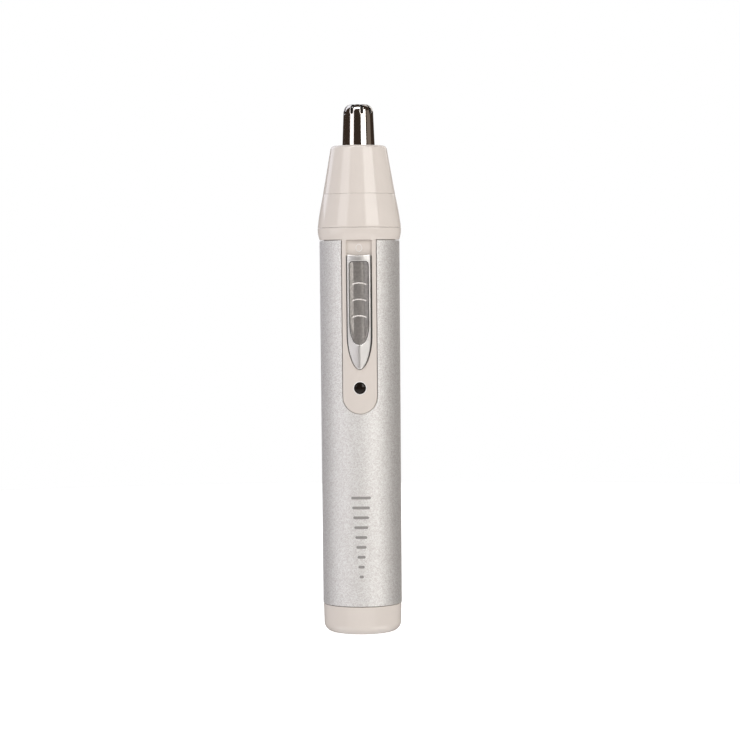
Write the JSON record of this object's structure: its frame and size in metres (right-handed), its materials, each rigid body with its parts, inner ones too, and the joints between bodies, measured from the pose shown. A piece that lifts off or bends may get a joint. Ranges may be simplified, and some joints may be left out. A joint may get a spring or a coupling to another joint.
{
  "type": "nose hair trimmer",
  "caption": "Pen-shaped rechargeable nose hair trimmer: silver sleeve, ivory tapered head with a slotted steel cutter, thumb slide switch and indicator light.",
  "frame": {"origin": "centre of the flat base of the end cap", "axes": "+Z along the trimmer towards the cutter, -Y out of the switch, +X to the right of someone facing the switch"},
  "size_m": [0.023, 0.0233, 0.1454],
  "materials": {
    "ivory_plastic": "gloss",
    "silver_sleeve": "satin",
    "slider_metal": "satin",
    "pad_metal": "satin",
    "cutter_steel": "polished",
    "blade_steel": "satin",
    "smoked_lens": "polished",
    "black_plastic": "matte",
    "white_nylon": "satin",
    "seal_rubber": "matte",
    "brass_contact": "satin",
    "copper": "satin",
    "nickel": "satin",
    "cell_wrap": "gloss",
    "board_green": "satin",
    "motor_steel": "satin",
    "magnet_ferrite": "matte",
    "red_lead": "satin",
    "black_lead": "satin"
  },
  "bodies": {
    "handle": {"bottom_cap": "ivory_plastic", "body_sleeve": "silver_sleeve", "inner_body_front": "ivory_plastic", "inner_body_rear": "ivory_plastic", "body_screw_left": "motor_steel", "body_screw_right": "motor_steel", "charge_socket": "black_plastic", "charge_pin": "nickel", "battery_cell": "cell_wrap", "battery_tab_positive": "nickel", "battery_tab_negative": "nickel", "circuit_board": "board_green", "indicator_led": "smoked_lens", "charge_resistor": "brass_contact", "charge_diode": "black_plastic", "switch_contact_common": "brass_contact", "switch_contact_on": "brass_contact", "motor_can": "motor_steel", "motor_end_bell": "black_plastic", "motor_bush": "brass_contact", "motor_magnet_left": "magnet_ferrite", "motor_magnet_right": "magnet_ferrite", "motor_brush_left": "copper", "motor_brush_right": "copper", "motor_terminal_left": "nickel", "motor_terminal_right": "nickel", "motor_screw_left": "motor_steel", "motor_screw_right": "motor_steel", "head_seal": "seal_rubber", "lead_charge_positive": "red_lead", "lead_charge_negative": "black_lead", "lead_cell_positive": "red_lead", "lead_cell_negative": "black_lead", "lead_motor_left": "black_lead", "lead_motor_right": "red_lead"},
    "switch": {"switch_slider": "slider_metal", "thumb_pad": "pad_metal", "switch_carriage": "black_plastic", "switch_wiper": "copper"},
    "drive": {"motor_shaft": "blade_steel", "armature_core": "motor_steel", "armature_coil_1": "copper", "armature_coil_2": "copper", "armature_coil_3": "copper", "commutator": "copper", "drive_coupling": "white_nylon", "blade_spring": "blade_steel"},
    "blade": {"blade_carrier": "white_nylon", "rotor_blade": "blade_steel"},
    "head": {"head_base": "ivory_plastic"},
    "head_cone": {"head_cap": "ivory_plastic", "outer_cutter": "cutter_steel", "cutter_retainer": "white_nylon"}
  },
  "joints": [
    {"name": "switch_slide", "type": "slide", "parent": "handle", "child": "switch", "axis": [0, 0, 1], "range_m": [0, 0.0038]},
    {"name": "drive_spin", "type": "hinge", "parent": "handle", "child": "drive", "pos_m": [0, 0, 0.1], "axis": [0, 0, 1], "continuous": true},
    {"name": "blade_float", "type": "slide", "parent": "drive", "child": "blade", "axis": [0, 0, 1], "range_m": [-0.0008, 0], "stiffness_N_per_m": 400, "springref_m": 0.001, "deforming": ["blade_spring"]},
    {"name": "head_pull", "type": "slide", "parent": "handle", "child": "head", "axis": [0, 0, 1], "range_m": [0, 0.036]},
    {"name": "cone_twist", "type": "hinge", "parent": "head", "child": "head_cone", "pos_m": [0, 0, 0.1207], "axis": [0, 0, 1], "range_deg": [0, 35]}
  ]
}
